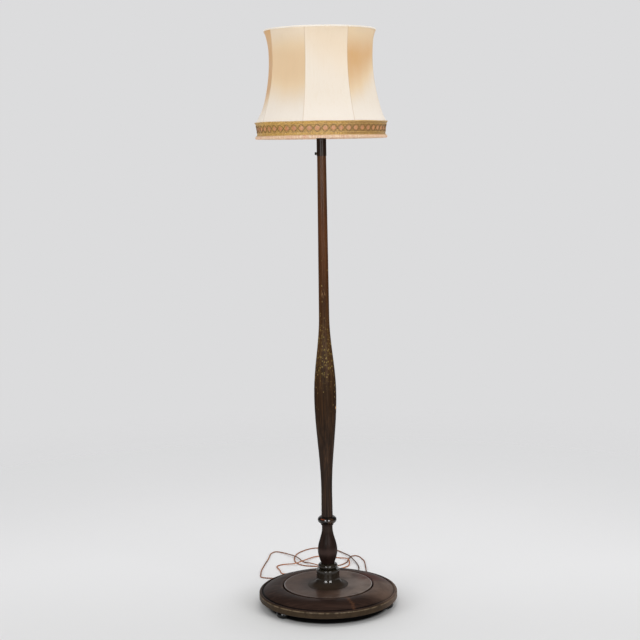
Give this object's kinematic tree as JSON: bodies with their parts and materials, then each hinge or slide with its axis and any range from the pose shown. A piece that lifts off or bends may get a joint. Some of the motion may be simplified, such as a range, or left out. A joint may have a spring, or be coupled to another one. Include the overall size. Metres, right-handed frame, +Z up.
{
  "type": "candlestick floor lamp",
  "caption": "Floor lamp with a turned wooden column on a round base with bun feet, a rotary switch under the lampholder and a waisted fabric panel shade.",
  "frame": {"origin": "on the column's axis, at the height of the floor that the feet stand on", "axes": "+Z up along the column, -Y towards the front, -X towards the switch knob"},
  "size_m": [0.4058, 0.7337, 1.62],
  "materials": {
    "base_wood": "dark brown glossy varnish, worn at the edges",
    "column_wood": "dark brown glossy varnish",
    "black_wood": "glossy black lacquer",
    "black_metal": "semi-gloss black",
    "black_resin": "glossy moulded",
    "switch_resin": "moulded",
    "steel": "zinc plated",
    "brass": "bright",
    "ceramic": "unglazed",
    "bulb_glass": "frosted",
    "filament": "clear stem with thin wires",
    "frame_wire": "cream paint",
    "shade_silk": "thin pleated silk, lightly browned",
    "lining_silk": "thin plain lining",
    "braid": "woven gold braid with a rose chain",
    "binding": "folded peach strip",
    "flex": "twisted two-core flex with braided covering",
    "plug_pin": "bright"
  },
  "bodies": {
    "stand": {"base_plate": "base_wood", "foot_right": "black_wood", "foot_rear": "black_wood", "foot_left": "black_wood", "foot_screws": "steel", "pedestal": "base_wood", "baluster": "column_wood", "shaft": "column_wood", "tie_tube": "steel", "base_washer": "steel", "base_nut": "steel", "flex_clip": "steel", "clip_screws": "steel", "inner_flex": "flex", "collar_base": "black_metal", "switch_collar": "black_metal", "switch_body": "switch_resin", "switch_nut": "black_metal", "switch_wires": "flex", "top_nipple": "brass", "lampholder_cap": "black_resin", "lampholder_insert": "ceramic", "terminal_screws": "brass", "centre_contact": "brass", "screw_sleeve": "brass", "lampholder_shell": "black_resin", "shade_ring_lower": "black_resin", "shade_ring_upper": "black_resin", "bulb_cap": "steel", "bulb_glass": "bulb_glass", "bulb_filament": "filament", "flex_lead": "flex", "plug_body": "black_resin", "plug_pins": "plug_pin"},
    "knob": {"switch_spindle": "brass", "switch_knob": "black_resin"},
    "shade": {"shade_spider": "frame_wire", "frame_top_ring": "frame_wire", "frame_band_ring": "frame_wire", "frame_hem_ring": "frame_wire", "frame_ribs": "frame_wire", "shade_lining": "lining_silk", "shade_cover": "shade_silk", "top_binding": "shade_silk", "braid_band": "braid", "hem_binding": "binding"}
  },
  "joints": [
    {"name": "switch_turn", "type": "hinge", "parent": "stand", "child": "knob", "pos_m": [-0.016, 0, 1.2843], "axis": [-1, 0, 0], "continuous": true},
    {"name": "shade_swivel", "type": "hinge", "parent": "stand", "child": "shade", "pos_m": [0, 0, 1.3769], "axis": [0, 0, 1], "continuous": true}
  ]
}
